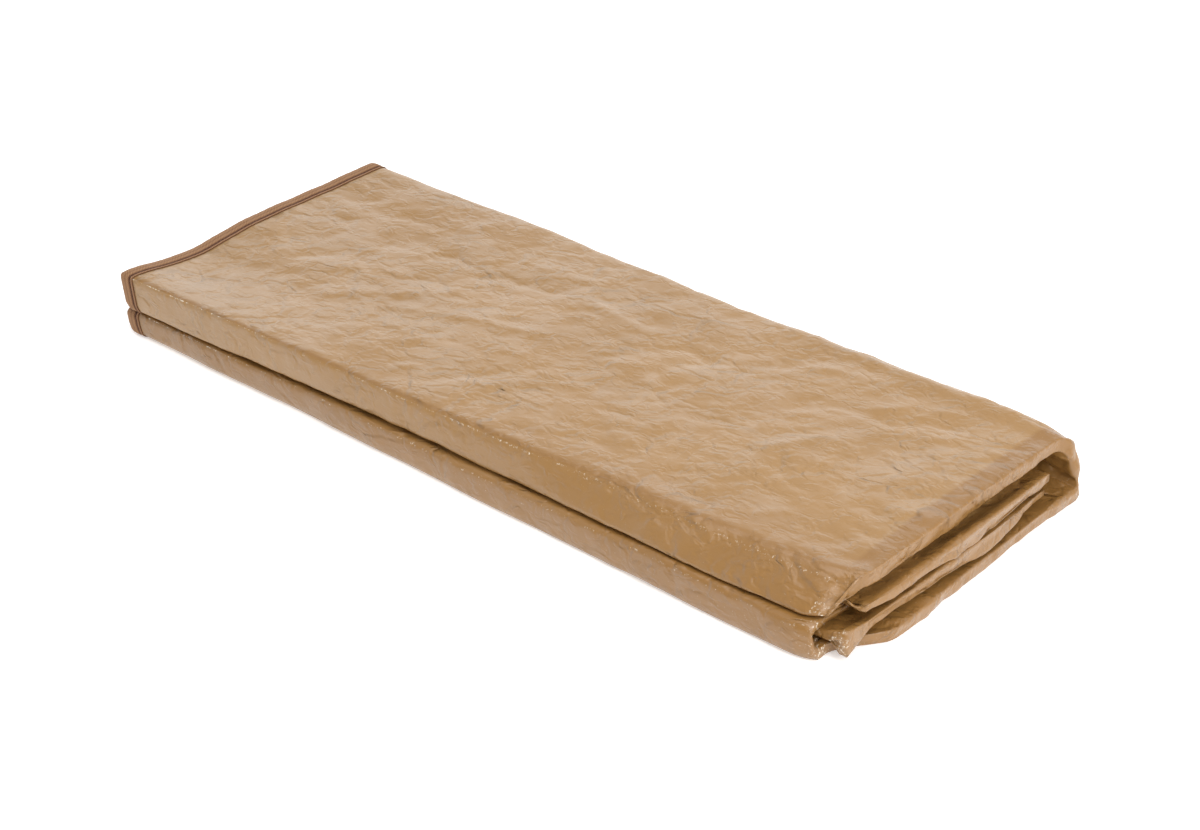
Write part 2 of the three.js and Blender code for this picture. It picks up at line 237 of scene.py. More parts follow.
def section_at(fold, outer, x):
    """The y and z of a ply's middle, in millimetres."""
    span, part = spans_of(fold)
    y, z = np.zeros_like(x), np.zeros_like(x)
    for number in np.unique(span):
        here = span == number
        layer, p, o, at = number // 2, part[here], outer[here], x[here]
        if number % 2 == 0:
            start, end = run_ends(layer, at)
            y[here] = mix(start, end, p)
            z[here] = ply_height(layer, o, at, y[here])
            continue
        turn = TURNS[layer]
        start, end = (line_at(column, at) for column in turn["lines"])
        low, high = ply_height(layer, o, at, start), ply_height(layer + 1, o, at, end)
        y[here], z[here] = turn_section(turn, p, o, at, start, end, low, high)
    return y, z


def ends_at(fold):
    """The x of the bound end and of the half fold."""
    span, part = spans_of(fold)
    bound, half = np.zeros_like(fold), np.zeros_like(fold)
    for number in np.unique(span):
        here = span == number
        layer, p = number // 2, part[here]
        row, after = LAYERS[layer], LAYERS[min(layer + 1, len(TURNS))]
        if number % 2 == 0:
            start, end = run_ends(layer, np.full_like(p, RIGHT_X))
            bound[here] = row["bound"]
            half[here] = eased_row(mix(start, end, p), HALF_FOLD_Y, row["half"])
            continue
        column = 0 if TURNS[layer]["side"] < 0 else -1
        out = SPINE_BULGE_X * np.sin(math.pi * p) if TURNS[layer]["name"] == "spine" else 0
        bound[here] = mix(row["bound"], after["bound"], ease(p))
        half[here] = mix(row["half"][column], after["half"][column], ease(p)) + out
    return bound, half


def cloth_at(fold, length):
    """The middle of the cloth at places of the sheet, an array of points in millimetres."""
    bound, half = ends_at(fold)
    along = np.where(length <= 1, length, np.where(length >= 2, LENGTH_END - length, 1))
    x = mix(bound, half, along)
    y, z = section_at(fold, length > 1.5, x)
    turning = within(length, 1, 2)
    if turning.any():
        part, at = fold[turning], half[turning]
        everywhere = np.ones_like(part, bool)
        inner_y, inner_z = section_at(part, ~everywhere, at)
        outer_y, outer_z = section_at(part, everywhere, at)
        apart = np.hypot(outer_y - inner_y, outer_z - inner_z) / 2
        angle = math.pi * (length[turning] - 1.5)
        across = (round_power(np.sin(angle), HALF_FOLD_SQUARE) + 1) / 2
        reach = np.minimum(apart, HALF_FOLD_REACH) * round_power(np.cos(angle), HALF_FOLD_SQUARE)
        x[turning] = at + reach
        y[turning] = mix(inner_y, outer_y, across)
        z[turning] = mix(inner_z, outer_z, across)
    return np.stack([x, y, z], axis=1)

# %% The way the cloth faces
STEP = 1e-4


def normals_of(surface, fold, length):
    """The normal of a surface that is given as a function of fold and length."""
    along_fold = surface(fold + STEP, length) - surface(fold - STEP, length)
    along_length = surface(fold, length + STEP) - surface(fold, length - STEP)
    return unit(np.cross(along_fold, along_length))

# %% Set the folds in the frame
FOLD_GRID, LENGTH_GRID = (
    g.ravel() for g in np.meshgrid(np.linspace(0, FOLD_END, 451), np.linspace(0, LENGTH_END, 241))
)
OWN = cloth_at(FOLD_GRID, LENGTH_GRID)
LOW, HIGH = (np.array(corner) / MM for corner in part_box("folded_sheet"))
SHIFT = (LOW + HIGH) / 2 - (OWN.min(axis=0) + OWN.max(axis=0)) / 2
SHIFT[2] = 0
print("cloth spans", OWN.min(axis=0).round(1), OWN.max(axis=0).round(1), "moved by", SHIFT.round(2))

# %% [markdown]
# Coated cloth doesn't drape in soft waves: it keeps every crease that it was ever given. Those
# creases are heights over the smooth folded shape. A long one is listed, as a way over the
# top, and the many short ones are strewn by a seeded draw. All are sharp lines with soft flanks,
# which is what makes small flat facets between them, and each fades out at both ends.

# %% The listed creases
# A row is way, height, width and lean. The way holds points on the top, x and y in millimetres. The
# height is negative for a trough. The width is how far the flanks reach, and lean makes the flank on
# the way's left longer than the other.
MAIN_CREASES = (
    (((-262, 62), (-240, 65), (-193, 61), (-144, 58)), -1.3, 6, 1.5),
    (((-165, 30), (-135, 59), (-78, 65), (-62, 77)), -1.7, 7, 1.4),
    (((-78, 65), (-55, 76), (-2, 65), (40, 68)), 1.9, 10, 0.6),
    (((-150, 78), (-110, 98), (-62, 100), (-50, 80)), 1.1, 9, 1.2),
    (((-160, -40), (-122, -25), (-74, -7), (-21, 4)), 1.5, 7, 1.3),
    (((-59, -122), (-39, -96), (-21, -73), (-5, -44)), -1.3, 5, 1.5),
    (((-14, -2), (21, 3), (56, 43)), -1.4, 7, 1.2),
    (((52, 50), (73, 59), (99, 52), (109, 63)), -1.6, 7, 1.7),
    (((92, 48), (128, 76), (165, 97)), -1.5, 6, 1.4),
    (((188, 30), (217, 61), (245, 64), (262, 66)), -1.4, 6, 1.6),
    (((244, 67), (266, 63), (289, 87), (318, 92)), -1.6, 8, 1.5),
    (((138, -30), (152, -22), (175, -7)), -1.1, 5, 1.4),
    (((206, -34), (222, -12), (240, 14), (262, 22)), 1.8, 9, 0.7),
    (((222, -38), (245, -47), (268, -56), (296, -58)), -1.6, 8, 1.3),
    (((80, -118), (110, -101), (136, -105), (154, -98)), -1.4, 7, 1.4),
    (((66, -97), (83, -89), (112, -83)), -1.1, 5, 1.5),
    (((131, -68), (150, -72), (172, -79)), -1.4, 7, 1.3),
    (((185, -118), (208, -112), (240, -112)), -1.5, 8, 1.4),
    (((303, -98), (325, -88), (348, -92)), -1.3, 7, 1.4),
    (((322, -70), (347, -74), (362, -70)), -1.2, 5, 1.3),
    (((312, -44), (346, -52), (360, -44)), -1.2, 6, 1.3),
    (((308, -26), (317, -3), (332, 6), (348, -2)), 1.4, 8, 0.8),
    (((282, 129), (329, 136), (360, 130)), 1.1, 6, 1.0),
    (((-300, -30), (-262, 0), (-230, 8)), -1.0, 6, 1.4),
    (((-320, 70), (-280, 92), (-240, 96)), -0.9, 5, 1.4),
    (((-250, -70), (-215, -46), (-190, -44)), 1.0, 6, 0.8),
    (((-200, 0), (-178, 16), (-150, 20)), -0.9, 5, 1.4),
    (((0, 96), (40, 112), (90, 118)), 1.1, 7, 1.2),
    (((10, -60), (48, -40), (86, -38)), 0.9, 6, 0.8),
    (((150, 96), (200, 112), (238, 112)), 1.1, 7, 1.3),
)
TOP_HEIGHT = 60

# Long creases that run along the half fold's own faces: from and to along the fold, from and to round
# the turn, and the height
BAND_LINES = (
    ((6.02, 6.42), (1.62, 1.55), -1.0),
    ((6.05, 6.30), (1.38, 1.44), -0.9),
    ((6.30, 6.95), (1.50, 1.66), -0.9),
    ((6.55, 6.90), (1.40, 1.36), 0.9),
    ((2.10, 2.55), (1.66, 1.42), -1.9),
    ((2.35, 2.75), (1.70, 1.74), 1.3),
    ((2.45, 2.95), (1.56, 1.30), -1.8),
    ((2.05, 2.30), (1.36, 1.30), 1.2),
    ((12.10, 12.60), (1.36, 1.62), -1.9),
    ((12.40, 12.92), (1.68, 1.44), -1.8),
    ((12.15, 12.50), (1.72, 1.76), 1.3),
    ((12.60, 12.95), (1.30, 1.38), 1.2),
    ((8.10, 8.50), (1.45, 1.60), -1.2),
    ((8.45, 8.95), (1.62, 1.50), -1.2),
    ((6.06, 6.97), (1.62, 1.58), 1.0),
    ((6.10, 6.85), (1.84, 1.80), -0.9),
    ((2.08, 2.92), (1.50, 1.54), 1.1),
    ((12.08, 12.92), (1.54, 1.50), 1.1),
    ((8.10, 8.92), (1.52, 1.58), 0.9),
)
print(len(MAIN_CREASES), "creases placed by hand")

# %% [markdown]
# The short creases lie on what shows: the top, both fronts, the spine and the underside's rim. On the
# top most of them run aslant, from the front left to the back right, because that is the way the
# packet was pressed. A crease is drawn in the cloth's own two numbers, so it follows the cloth round
# a fold.

# %% Strew the short creases
CREASE_DRAW = random.Random(41)
ASLANT = math.radians(41)
PLY_LENGTH, HALF_FOLD_RUN = 775, 40

# Where they are strewn: from and to along the fold, how wide that is in millimetres, how many there
# are, and how far their direction strays
STREWN = (
    dict(name="top", fold=(6.03, 6.97), wide=286, count=430, stray=0.62),
    dict(name="upper front", fold=(5.1, 5.9), wide=40, count=46, stray=1.5),
    dict(name="lower front", fold=(9.1, 9.9), wide=40, count=46, stray=1.5),
    dict(name="spine", fold=(7.1, 7.9), wide=90, count=90, stray=1.5),
    dict(name="spine's inner end", fold=(7.1, 7.95), wide=90, count=30, stray=3,
         length=(0.9, 1.1), height=(2.2, 5.2), ways=(1, 1, -0.2)),
    dict(name="spine's outer end", fold=(7.1, 7.9), wide=90, count=16, stray=3,
         length=(1.9, 2.08), height=(1.0, 2.6), ways=(1, 1, -0.5)),
    dict(name="top's right end", fold=(6.0, 6.97), wide=286, count=24, stray=3,
         length=(1.1, 1.9), height=(0.3, 0.8)),
    dict(name="upper bundle's end", fold=(2.05, 2.95), wide=262, count=36, stray=3,
         length=(1.1, 2.0), height=(0.4, 1.2)),
    dict(name="lower bundle's end", fold=(12.05, 12.95), wide=262, count=36, stray=3,
         length=(1.1, 2.0), height=(0.4, 1.2)),
    dict(name="bottom's end", fold=(8.05, 8.95), wide=286, count=24, stray=3,
         length=(1.1, 2.0), height=(0.4, 1.0)),
    dict(name="front corners", fold=(5.3, 5.9), wide=40, count=16, stray=3,
         length=(1.1, 2.04), height=(0.8, 2.0)),
)
STREWN_LENGTH, STREWN_HEIGHT, STREWN_WAYS = (2.01, 2.93), (0.25, 0.9), (-1, -1, 1)
STREWN_RUN, STREWN_WIDTH, STREWN_LEAN, STREWN_BEND = (14, 46), (2.6, 5.5), 1.3, 0.2
BAND_WIDTH, BAND_LEAN = 1.5, 1.6
LAST_LENGTH = 2.97


def flat_step(length):
    """How many millimetres of cloth one unit of length is, on a ply or round the half fold."""
    return PLY_LENGTH if length >= 2 or length <= 1 else HALF_FOLD_RUN


def strewn_creases():
    rows = []
    for patch in STREWN:
        for _ in range(patch["count"]):
            fold = CREASE_DRAW.uniform(*patch["fold"])
            length = CREASE_DRAW.uniform(*patch.get("length", STREWN_LENGTH))
            angle = ASLANT + CREASE_DRAW.gauss(0, patch["stray"] / 2)
            reach = CREASE_DRAW.uniform(*STREWN_RUN) / 2
            bend = CREASE_DRAW.uniform(-STREWN_BEND, STREWN_BEND) * reach
            folds, lengths = [], []
            for along, aside in ((-reach, 0), (0, bend), (reach, 0)):
                dx = along * math.cos(angle) - aside * math.sin(angle)
                dy = along * math.sin(angle) + aside * math.cos(angle)
                folds.append(fold + dy / patch["wide"])
                lengths.append(min(length - dx / flat_step(length), LAST_LENGTH))
            way = cloth_at(np.array(folds), np.array(lengths))
            height = CREASE_DRAW.choice(patch.get("ways", STREWN_WAYS))
            height *= CREASE_DRAW.uniform(*patch.get("height", STREWN_HEIGHT))
            width = CREASE_DRAW.uniform(*STREWN_WIDTH)
            rows.append(dict(way=way, height=height, width=width, lean=STREWN_LEAN))
    return rows


def band_creases():
    rows = []
    for fold, length, height in BAND_LINES:
        way = cloth_at(np.linspace(*fold, 7), np.linspace(*length, 7))
        rows.append(dict(way=way, height=height, width=BAND_WIDTH, lean=BAND_LEAN))
    return rows


CREASES = [
    dict(way=np.array([(x, y, TOP_HEIGHT) for x, y in way]), height=height, width=width, lean=lean)
    for way, height, width, lean in MAIN_CREASES
]
CREASES += strewn_creases() + band_creases()
print(len(CREASES), "creases in all")

# %% The height of all the creases at a place
# How soft a crest is in millimetres, how many widths its flanks reach, and how it ends
CREST_SOFTNESS, CREASE_REACH, TAPER = 0.6, 4, 0.6


def add_crease(heights, points, normals, crease):
    way = crease["way"].astype(float)
    lengths = np.linalg.norm(np.diff(way, axis=0), axis=1)
    starts = np.concatenate([[0], np.cumsum(lengths)])
    reach = crease["width"] * crease["lean"] * CREASE_REACH
    low, high = way.min(axis=0) - reach, way.max(axis=0) + reach
    near = np.flatnonzero(within(points, low, high).all(axis=1))
    if not len(near):
        return
    best = np.full(len(near), 1e9)
    along, side = np.zeros(len(near)), np.zeros(len(near))
    for i, size in enumerate(lengths):
        step = (way[i + 1] - way[i]) / size
        away = points[near] - way[i]
        t = np.clip(away @ step, 0, size)
        off = away - t[:, None] * step
        distance = np.linalg.norm(off, axis=1)
        closer = distance < best
        best[closer] = distance[closer]
        along[closer] = (starts[i] + t[closer]) / starts[-1]
        across = np.cross(normals[near], step)
        side[closer] = np.sign((off * across).sum(axis=1))[closer]
    width = crease["width"] * np.where(side > 0, crease["lean"], 1 / crease["lean"])
    flank = np.exp(-(np.sqrt(best**2 + CREST_SOFTNESS**2) - CREST_SOFTNESS) / width)
    taper = np.sin(math.pi * np.clip(along, 0, 1)) ** TAPER
    heights[near] += crease["height"] * flank * taper


# Broad facets that cover everything: the size of a facet and how high its rim is, in millimetres, and
# at which level the noise is cut
FACETS = (
    dict(size=70, rim=1.9, at=3.1),
    dict(size=30, rim=0.75, at=9.7),
    dict(size=15, rim=0.3, at=5.3),
)
FACET_STRETCH, FACET_WARP, FACET_LEVEL = 1.9, 0.7, 0.3


def facets_at(points):
    """Shallow bowls that meet at sharp rims, longer along the slanting direction than across it."""
    cos, sin = math.cos(ASLANT), math.sin(ASLANT)
    heights = np.zeros(len(points))
    for facet in FACETS:
        size = facet["size"]
        for i, (x, y, z) in enumerate(points):
            u, v = (x * cos + y * sin) / FACET_STRETCH, y * cos - x * sin
            warp = noise.noise((u / size / 2, v / size / 2, z / size + facet["at"])) * FACET_WARP
            place = (u / size + warp, v / size - warp, z / size + facet["at"])
            nearest = noise.voronoi(place)[0][0]
            heights[i] += facet["rim"] * (nearest * nearest - FACET_LEVEL)
    return heights


# Creases start at some way from the binding, in millimetres. Hidden plies have half of them, and what
# lies on the floor has few. The most that a crease may lift the cloth, in millimetres, is more
# at the spine's right end.
CLEAR_OF_BINDING = (14, 46)
HIDDEN_SHARE, FLOOR_SHARE = 0.5, 0.12
MOST_LIFT, MOST_SPINE_LIFT = 3, 5

# Stretches of the cloth: what lies on the floor and the spine, both along the fold, and the length
# from which a place is on the outer ply
ON_FLOOR, SPINE, OUTER_FROM = (7.8, 9.2), (7, 8), 1.9


def sheet_heights(points, normals, fold, length):
    """How far the creases lift the cloth at points of the folded sheet, in millimetres."""
    heights = facets_at(points)
    for crease in CREASES:
        add_crease(heights, points, normals, crease)
    from_bound = np.minimum(length, LENGTH_END - length) * PLY_LENGTH
    free = ease(share(from_bound, *CLEAR_OF_BINDING))
    is_hidden = ((fold < 5) | (fold > 10)) & (length > 2) | (length < 0.95)
    hidden = np.where(is_hidden, HIDDEN_SHARE, 1)
    on_floor = within(fold, *ON_FLOOR) & (length > OUTER_FROM)
    resting = np.where(on_floor, FLOOR_SHARE, 1)
    spine_end = within(fold, *SPINE) & (np.abs(length - 1.5) < 0.65)
    most = np.where(spine_end, MOST_SPINE_LIFT, MOST_LIFT)
    return np.clip(heights * free * hidden * resting, -most, most)

# %% [markdown]
# A sheet starts as a flat grid. Each of its corners knows which place of the cloth it is, and is then
# moved to where that place lies in the packet. The grid is only as fine as each part needs: the run
# of the top and the fronts, which show, are divided once more. Thickness comes last, from Solidify.

# %% The sheet's grid
# Steps along each layer and turn, and along each stretch of the length
FOLD_STEPS = (26, 6, 8, 6, 8, 3, 21, 6, 20, 3, 26, 6, 8, 6, 10)
LENGTH_STEPS = ((0, 0.04, 3), (0.04, 0.9, 10), (0.9, 1, 5), (1, 2, 4), (2, 3, 50))
CLOTH_THICKNESS = 0.5


def fold_stations(steps):
    spans = [np.linspace(span, span + 1, count, endpoint=False) for span, count in enumerate(steps)]
    return np.append(np.concatenate(spans), FOLD_END)


def length_stations(stretches):
    parts = [np.linspace(low, high, count, endpoint=False) for low, high, count in stretches]
    return np.append(np.concatenate(parts), LENGTH_END)


def place_at(at, stations):
    return np.interp(at, range(len(stations)), stations)


def flat_grid(folds, lengths):
    """A grid one unit a step, from (0, 0)."""
    bm = bmesh.new()
    x, y = len(folds) - 1, len(lengths) - 1
    bmesh.ops.create_grid(bm, x_segments=x, y_segments=y, size=0.5)
    bmesh.ops.translate(bm, verts=bm.verts, vec=(0.5, 0.5, 0))
    bmesh.ops.scale(bm, verts=bm.verts, vec=(x, y, 1))
    return bm


def new_piece(name, bm):
    mesh = bpy.data.meshes.new(name)
    bm.to_mesh(mesh)
    bm.free()
    piece = bpy.data.objects.new(name, mesh)
    bpy.context.scene.collection.objects.link(piece)
    return piece


def smooth_faces(piece):
    for polygon in piece.data.polygons:
        polygon.use_smooth = True


def read_points(mesh):
    points = np.zeros(len(mesh.vertices) * 3)
    mesh.vertices.foreach_get("co", points)
    return points.reshape(-1, 3)


def write_points(mesh, points):
    mesh.vertices.foreach_set("co", np.asarray(points, np.float32).ravel())
    mesh.update()


FOLDS, LENGTHS = fold_stations(FOLD_STEPS), length_stations(LENGTH_STEPS)
sheet_bm = flat_grid(FOLDS, LENGTHS)


def shows(vert):
    fold, length = place_at(vert.co.x, FOLDS), place_at(vert.co.y, LENGTHS)
    outside = length > OUTER_FROM and (5 <= fold <= 8 or 9 <= fold <= 10)
    right_end = 0.93 < length < 2.07 and (2 <= fold <= 3 or 5 <= fold <= 9 or 12 <= fold <= 13)
    return outside or right_end


showing = {vert for vert in sheet_bm.verts if shows(vert)}
finer = [edge for edge in sheet_bm.edges if edge.verts[0] in showing and edge.verts[1] in showing]
bmesh.ops.subdivide_edges(sheet_bm, edges=finer, cuts=3, use_grid_fill=True)
sheet_piece = new_piece("ground_sheet", sheet_bm)
print("the sheet has", len(sheet_piece.data.polygons), "faces before it is thick")

# %% Fold it and crease it
# Waves of the bound ends: how far each moves the edge up and out, its length and its start
EDGE_WAVES = (
    dict(rise=0.55, out=0.5, wave=41, at=0.3),
    dict(rise=0.3, out=0.5, wave=17, at=1.9),
    dict(rise=0.12, out=0.35, wave=9, at=4.4),
)
WAVE_FADE, WAVE_LIFT_Z = 45, 20


def packet_at(fold, length):
    """The cloth in the packet, with the small waves of its bound ends."""
    points = cloth_at(fold, length) + SHIFT
    fade = np.exp(-(points[:, 0] - LOW[0]) / WAVE_FADE)
    lift = fade * np.clip(points[:, 2] / WAVE_LIFT_Z, 0, 1)
    around = (points[:, 1] + points[:, 2]) * 2 * math.pi
    for row in EDGE_WAVES:
        wave = np.sin(around / row["wave"] + row["at"])
        points[:, 0] += row["out"] * fade * wave
        points[:, 2] += row["rise"] * lift * wave
    return points


spots = read_points(sheet_piece.data)
SHEET_FOLD, SHEET_LENGTH = place_at(spots[:, 0], FOLDS), place_at(spots[:, 1], LENGTHS)
smooth = packet_at(SHEET_FOLD, SHEET_LENGTH)
outward = normals_of(packet_at, SHEET_FOLD, SHEET_LENGTH)
raised = sheet_heights(smooth - SHIFT, outward, SHEET_FOLD, SHEET_LENGTH)
creased = smooth + outward * raised[:, None]
creased[:, 2] = np.maximum(creased[:, 2], CLOTH_THICKNESS / 2)
write_points(sheet_piece.data, creased * MM)
print("creases reach from", raised.min().round(2), "to", raised.max().round(2), "mm")

# %% [markdown]
# The weave and the wear follow the cloth and not the room, so the sheet gets a UV map of its flat
# self, in metres, and two attributes. One is 1 where a crest has been rubbed, and is also raised on the
# right end's upper rim and corner, where it paints glints. The other paints shade into the colour: over
# a bend, at the half fold, on the fronts towards the right, and in the hollows.

# %% The flat map
MAP_PLACES = 3001
HALF_FOLD_SHARE = 0.02


def run_of(points):
    """How far along a line each of its points lies."""
    return np.append(0, np.cumsum(np.linalg.norm(np.diff(points, axis=0), axis=1)))


def flat_places(fold, length):
    """The place of each point on the flat sheet, in metres, and the sheet's width in millimetres."""
    stations = np.linspace(0, FOLD_END, MAP_PLACES)
    run = run_of(cloth_at(stations, np.full(MAP_PLACES, 0.5)))
    across = np.interp(fold, stations, run)
    turned = 1 + (length - 1) * HALF_FOLD_SHARE
    along = np.where(length < 1, length, np.where(length > 2, length - 1, turned))
    return across * MM, along * PLY_LENGTH * MM, run[-1]


def lay_map(piece, u, v):
    corners = np.zeros(len(piece.data.loops), int)
    piece.data.loops.foreach_get("vertex_index", corners)
    layer = piece.data.uv_layers.new(name="flat")
    layer.data.foreach_set("uv", np.stack([u[corners], v[corners]], axis=1).ravel())


ACROSS, ALONG, FLAT_WIDTH = flat_places(SHEET_FOLD, SHEET_LENGTH)
lay_map(sheet_piece, ACROSS, ALONG)

# %% The rubbed crests, the painted glints and the painted shade
# Rubbed crests: where along the fold they lie, how far the rubbing reaches and how strong it is, each
# at the bound end and at the half fold
CRESTS = (
    ((5.84, 5.66), (0.03, 0.13), (1.0, 0.64)),
    ((9.82, 9.74), (0.05, 0.09), (1.0, 0.62)),
    ((9.62, 9.50), (0.10, 0.18), (0.45, 0.5)),
    ((7.16, 7.16), (0.03, 0.03), (0.5, 0.5)),
    ((7.84, 7.84), (0.03, 0.03), (0.5, 0.5)),
)
# Other places with wear and painted glints, with their middle and reach: the upper rim along the
# length, and the corner in y
UPPER_RIM, UPPER_RIM_WEAR_AND_GLINT = (1.86, 0.1), 0.3
CORNER, CORNER_WEAR_AND_GLINT = (-150, 16), 0.82
# How much the half fold is rubbed, and how much painted shade darkens it
HALF_FOLD_RUB, HALF_FOLD_SHADE = 0.42, 0.9

# Where shade is painted into the colour: over the shoulder of the upper front, with its middle and
# reach at the left and at the right, over the crest of the lower front, and on both fronts towards the
# right
SHOULDER_MIDDLE, SHOULDER_REACH = (5.93, 5.84), (0.05, 0.23)
LOWER_CREST = (9.6, 0.45)
BEND_SHADE, UPPER_FRONT_SHADE, LOWER_FRONT_SHADE, RIGHTWARD = 0.95, 0.85, 1.3, 1.5

# The stretch along the inner ply over which painted shade deepens the colour into the hollows
HOLLOW_FROM = (0.7, 0.88)


def add_mask(piece, name, values):
    mask = piece.data.attributes.new(name, "FLOAT", "POINT")
    mask.data.foreach_set("value", np.asarray(values, np.float32))


def bell(value, middle, reach):
    """1 at the middle, and fading away over the reach."""
    return np.exp(-(((value - middle) / reach) ** 2))


TO_RIGHT = share(smooth[:, 0], LEFT_X, RIGHT_X)
AT_HALF_FOLD = np.abs(SHEET_LENGTH - 1.5) < 0.52


# Wear on the crests, and painted glints on the upper rim and the corner: pale flecks show where this is
# high
def wear_and_glint_mask():
    wear_and_glints = np.zeros(len(SHEET_FOLD))
    for crest in CRESTS:
        middle, reach, amount = (mix(*ends, TO_RIGHT) for ends in crest)
        near = bell(SHEET_FOLD, middle, reach)
        wear_and_glints = np.maximum(wear_and_glints, amount * near * (SHEET_LENGTH > OUTER_FROM))
    upper_rim = bell(SHEET_LENGTH, *UPPER_RIM) * within(SHEET_FOLD, 6, 7)
    corner = bell(smooth[:, 1], *CORNER) * AT_HALF_FOLD
    for rub, where in (
        (UPPER_RIM_WEAR_AND_GLINT, upper_rim),
        (CORNER_WEAR_AND_GLINT, corner),
        (HALF_FOLD_RUB, AT_HALF_FOLD),
    ):
        wear_and_glints = np.maximum(wear_and_glints, rub * where)
    return wear_and_glints


# Painted shade: where this is high the colour turns to the darker ochre, over the bends, at the half
# fold, on the fronts towards the right and in the hollows
def painted_shade_mask():
    rightward = TO_RIGHT**RIGHTWARD
    middle, reach = mix(*SHOULDER_MIDDLE, TO_RIGHT), mix(*SHOULDER_REACH, rightward)
    bends = np.maximum(bell(SHEET_FOLD, middle, reach), bell(SHEET_FOLD, *LOWER_CREST))
    deep = np.maximum(BEND_SHADE * bends, HALF_FOLD_SHADE * AT_HALF_FOLD)
    upper, lower = np.abs(SHEET_FOLD - 5.5) < 0.5, np.abs(SHEET_FOLD - 9.5) < 0.5
    fronts = rightward * (UPPER_FRONT_SHADE * upper + LOWER_FRONT_SHADE * lower)
    deep = np.maximum(deep, np.minimum(fronts, 1))
    return np.where(SHEET_LENGTH < 1, ease(share(SHEET_LENGTH, *HOLLOW_FROM)), deep)


add_mask(sheet_piece, "wear_and_glints", wear_and_glint_mask())
add_mask(sheet_piece, "painted_shade", painted_shade_mask())
print(len(CRESTS), "rubbed crests")

# %% Give it its thickness
smooth_faces(sheet_piece)
thick = sheet_piece.modifiers.new("thickness", "SOLIDIFY")
thick.thickness = CLOTH_THICKNESS * MM
thick.offset = 0

# %% [markdown]
# The binding is a woven tape, folded lengthwise over the sheet's edge. Its section is a narrow
# channel with a groove, where the stitches pull it down, and a raised rim beside the groove. A flat
# strip of a grid is bent round that section and carried round the sheet's whole edge, with a mitre at
# each corner, so it has every fold that the sheet has.

# %% The binding's section and its way round the sheet
BINDING_WIDTH = 15
SEAM_INWARD = 11
INSIDE = CLOTH_THICKNESS / 2 + 0.06

# A row is the distance in from the sheet's edge, the rise from the sheet's middle, and how much the
# tape darkens there: painted shade, deepest in the groove and along the inner edge
BINDING_FACE = (
    (15.0, 0.55, 1.0),
    (14.6, 0.95, 0.6),
    (13.9, 1.22, 0.0),
    (12.9, 1.15, 0.0),
    (12.2, 0.76, 0.7),
    (11.4, 0.54, 1.0),
    (10.5, 0.54, 1.0),
    (9.8, 0.84, 0.6),
    (8.7, 1.24, 0.0),
    (6.9, 1.38, 0.0),
    (5.6, 1.24, 0.4),
    (4.4, 1.38, 0.0),
    (2.2, 1.30, 0.0),
    (0.6, 1.05, 0.0),
    (-0.4, 0.72, 0.1),
    (-0.8, 0.30, 0.1),
)
UNDER_FACE = tuple((inward, -rise, dark) for inward, rise, dark in reversed(BINDING_FACE))
LINING = (
    (15.0, -INSIDE, 1.0),
    (-0.15, -INSIDE, 1.0),
    (-0.15, INSIDE, 1.0),
    (15.0, INSIDE, 1.0),
)
BINDING_SECTION = np.array(BINDING_FACE + UNDER_FACE + LINING)

BINDING_STEPS = (56, 8, 56, 8, 56, 12, 64, 20, 56, 12, 56, 8, 56, 8, 56)
CROSS_FOLDS = fold_stations(BINDING_STEPS)
CROSS_LENGTHS = np.concatenate([np.linspace(0, 1, 52), np.linspace(1, 2, 9), np.linspace(2, 3, 52)])
TUCK_WIDTH = 262
MAP_INWARD = 5.0
MERGE_DISTANCE = 0.02


def way_round():
    """Rows of fold, length, and the direction inward in both, once round the sheet's edge."""
    margin_fold, margin_length = BINDING_WIDTH / TUCK_WIDTH, BINDING_WIDTH / PLY_LENGTH
    folds = CROSS_FOLDS[within(CROSS_FOLDS, margin_fold, FOLD_END - margin_fold)]
    lengths = np.unique(CROSS_LENGTHS)
    lengths = lengths[within(lengths, margin_length, LENGTH_END - margin_length)]
    rows = [(0, 0, 1, 1)]
    rows += [(fold, 0, 0, 1) for fold in folds]
    rows += [(FOLD_END, 0, -1, 1)]
    rows += [(FOLD_END, length, -1, 0) for length in lengths]
    rows += [(FOLD_END, LENGTH_END, -1, -1)]
    rows += [(fold, LENGTH_END, 0, -1) for fold in folds[::-1]]
    rows += [(0, LENGTH_END, 1, -1)]
    rows += [(0, length, 1, 0) for length in lengths[::-1]]
    return np.array(rows, float)


WAY = way_round()
print("the binding goes round in", len(WAY), "steps")

# %% Bend a flat strip round the section and the way


def over_edge(row, inward, rise):
    """Points beside the sheet's edge: inward from it, and rise above the cloth's middle."""
    fold = row[:, 0] + row[:, 2] * inward / TUCK_WIDTH
    length = row[:, 1] + row[:, 3] * inward / PLY_LENGTH
    return packet_at(fold, length) + normals_of(packet_at, fold, length) * rise[:, None]


around, along = len(BINDING_SECTION), len(WAY)
strip = flat_grid(range(along + 1), range(around + 1))
binding = new_piece("binding_tape", strip)
spots = np.rint(read_points(binding.data)[:, :2]).astype(int)
section, way = BINDING_SECTION[spots[:, 1] % around], WAY[spots[:, 0] % along]
write_points(binding.data, over_edge(way, section[:, 0], section[:, 1]) * MM)
# The dark mask paints shade into the tape's colour
add_mask(binding, "dark", section[:, 2])

ALONG_TAPE = run_of(over_edge(WAY, np.full(along, MAP_INWARD), np.zeros(along)))
lay_map(binding, ALONG_TAPE[np.minimum(spots[:, 0], along - 1)] * MM, section[:, 0] * MM)

closing = bmesh.new()
closing.from_mesh(binding.data)
bmesh.ops.remove_doubles(closing, verts=closing.verts, dist=MERGE_DISTANCE * MM)
bmesh.ops.recalc_face_normals(closing, faces=closing.faces)
closing.to_mesh(binding.data)
closing.free()
smooth_faces(binding)
print("the binding has", len(binding.data.polygons), "faces")

